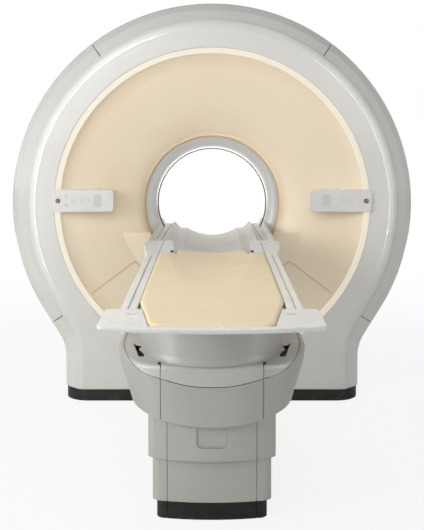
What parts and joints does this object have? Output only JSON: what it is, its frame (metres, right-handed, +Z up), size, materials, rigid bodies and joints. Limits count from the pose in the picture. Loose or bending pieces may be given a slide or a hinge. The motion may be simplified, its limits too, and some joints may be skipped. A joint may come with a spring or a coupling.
{
  "type": "mri scanner",
  "caption": "Whole-body magnetic resonance scanner: round gantry with a patient bore, a bridge through its mouth and a patient table that slides in and lifts.",
  "frame": {"origin": "on the floor, below the middle of the bore", "axes": "+Z up, +Y along the bore from the table to the rear of the gantry, +X to the right seen from the table's foot end"},
  "size_m": [2.16, 4.188, 2.125],
  "materials": {
    "cover_white": "satin",
    "ring_white": "satin",
    "bell_beige": "satin",
    "mouth_grey": "satin",
    "seal_dark": "matt",
    "liner_white": "satin",
    "kick_black": "matt",
    "vessel_steel": "satin",
    "coil_resin": "matt",
    "stand_steel": "matt",
    "hoop_aluminium": "satin",
    "panel_white": "satin",
    "display_grey": "gloss",
    "key_grey": "matt",
    "stop_red": "gloss",
    "table_white": "satin",
    "rail_white": "satin",
    "board_white": "satin",
    "pad_beige": "matt",
    "beam_grey": "satin",
    "glide_black": "matt",
    "shell_grey": "satin",
    "motor_grey": "matt",
    "duct_grey": "matt"
  },
  "bodies": {
    "gantry": {"flank_cover_top": "cover_white", "flank_cover_left": "cover_white", "flank_cover_right": "cover_white", "foot_covers": "cover_white", "front_cover": "cover_white", "rear_cover": "cover_white", "light_ring": "ring_white", "bell_main": "bell_beige", "bell_lower_panel": "bell_beige", "mouth_ring": "mouth_grey", "bore_seal": "seal_dark", "bore_liner": "liner_white", "rear_bell": "cover_white", "plinth": "kick_black", "magnet_vessel": "vessel_steel", "cold_head": "vessel_steel", "gradient_coil": "coil_resin", "body_coil": "coil_resin", "magnet_stands": "stand_steel", "cover_hoops": "hoop_aluminium", "control_panel_left": "panel_white", "control_panel_right": "panel_white", "displays": "display_grey", "bridge": "mouth_grey", "kick_panel_front": "kick_black", "kick_panel_wrap": "kick_black", "lower_cover_front": "shell_grey", "lower_cover_wrap": "shell_grey", "base_plate": "stand_steel", "column_outer": "hoop_aluminium", "lift_motor": "motor_grey", "floor_duct": "duct_grey"},
    "lift_stage": {"column_middle": "hoop_aluminium", "mid_cover_front": "shell_grey", "mid_cover_wrap": "shell_grey"},
    "table_frame": {"column_inner": "hoop_aluminium", "lift_yoke": "stand_steel", "shroud_front": "shell_grey", "shroud_wrap": "shell_grey", "bowl_front": "shell_grey", "bowl_sides": "shell_grey", "cradle": "shell_grey", "table_beam": "beam_grey", "glide_strips": "glide_black", "side_rails": "rail_white", "end_brackets": "table_white", "t_plate": "table_white", "travel_motor": "motor_grey"},
    "table_slide": {"table_board": "board_white", "mattress": "pad_beige", "head_shoes": "table_white"},
    "stop_left": {"stop_button_left": "stop_red"},
    "stop_right": {"stop_button_right": "stop_red"},
    "table_out_key_cap": {"table_out_key": "key_grey"},
    "table_in_key_cap": {"table_in_key": "key_grey"},
    "table_up_key_cap": {"table_up_key": "key_grey"},
    "table_down_key_cap": {"table_down_key": "key_grey"},
    "bore_light_key_cap": {"bore_light_key": "key_grey"},
    "laser_key_cap": {"laser_key": "key_grey"},
    "fan_key_cap": {"fan_key": "key_grey"}
  },
  "joints": [
    {"name": "table_lift", "type": "slide", "parent": "gantry", "child": "table_frame", "axis": [0, 0, 1], "range_m": [-0.3, 0]},
    {"name": "stage_lift", "type": "slide", "parent": "gantry", "child": "lift_stage", "axis": [0, 0, 1], "range_m": [-0.15, 0]},
    {"name": "table_travel", "type": "slide", "parent": "table_frame", "child": "table_slide", "axis": [0, 1, 0], "range_m": [0, 1.7]},
    {"name": "stop_press_left", "type": "slide", "parent": "gantry", "child": "stop_left", "axis": [0, 1, 0], "range_m": [0, 0.004]},
    {"name": "stop_press_right", "type": "slide", "parent": "gantry", "child": "stop_right", "axis": [0, 1, 0], "range_m": [0, 0.004]},
    {"name": "table_out_key_press", "type": "slide", "parent": "gantry", "child": "table_out_key_cap", "axis": [0, 1, 0], "range_m": [0, 0.001], "stiffness_N_per_m": 500},
    {"name": "table_in_key_press", "type": "slide", "parent": "gantry", "child": "table_in_key_cap", "axis": [0, 1, 0], "range_m": [0, 0.001], "stiffness_N_per_m": 500},
    {"name": "table_up_key_press", "type": "slide", "parent": "gantry", "child": "table_up_key_cap", "axis": [0, 1, 0], "range_m": [0, 0.001], "stiffness_N_per_m": 500},
    {"name": "table_down_key_press", "type": "slide", "parent": "gantry", "child": "table_down_key_cap", "axis": [0, 1, 0], "range_m": [0, 0.001], "stiffness_N_per_m": 500},
    {"name": "bore_light_key_press", "type": "slide", "parent": "gantry", "child": "bore_light_key_cap", "axis": [0, 1, 0], "range_m": [0, 0.001], "stiffness_N_per_m": 500},
    {"name": "laser_key_press", "type": "slide", "parent": "gantry", "child": "laser_key_cap", "axis": [0, 1, 0], "range_m": [0, 0.001], "stiffness_N_per_m": 500},
    {"name": "fan_key_press", "type": "slide", "parent": "gantry", "child": "fan_key_cap", "axis": [0, 1, 0], "range_m": [0, 0.001], "stiffness_N_per_m": 500}
  ],
  "couplings": [
    {"joint": "stage_lift", "follows": "table_lift", "ratio": 0.5}
  ]
}
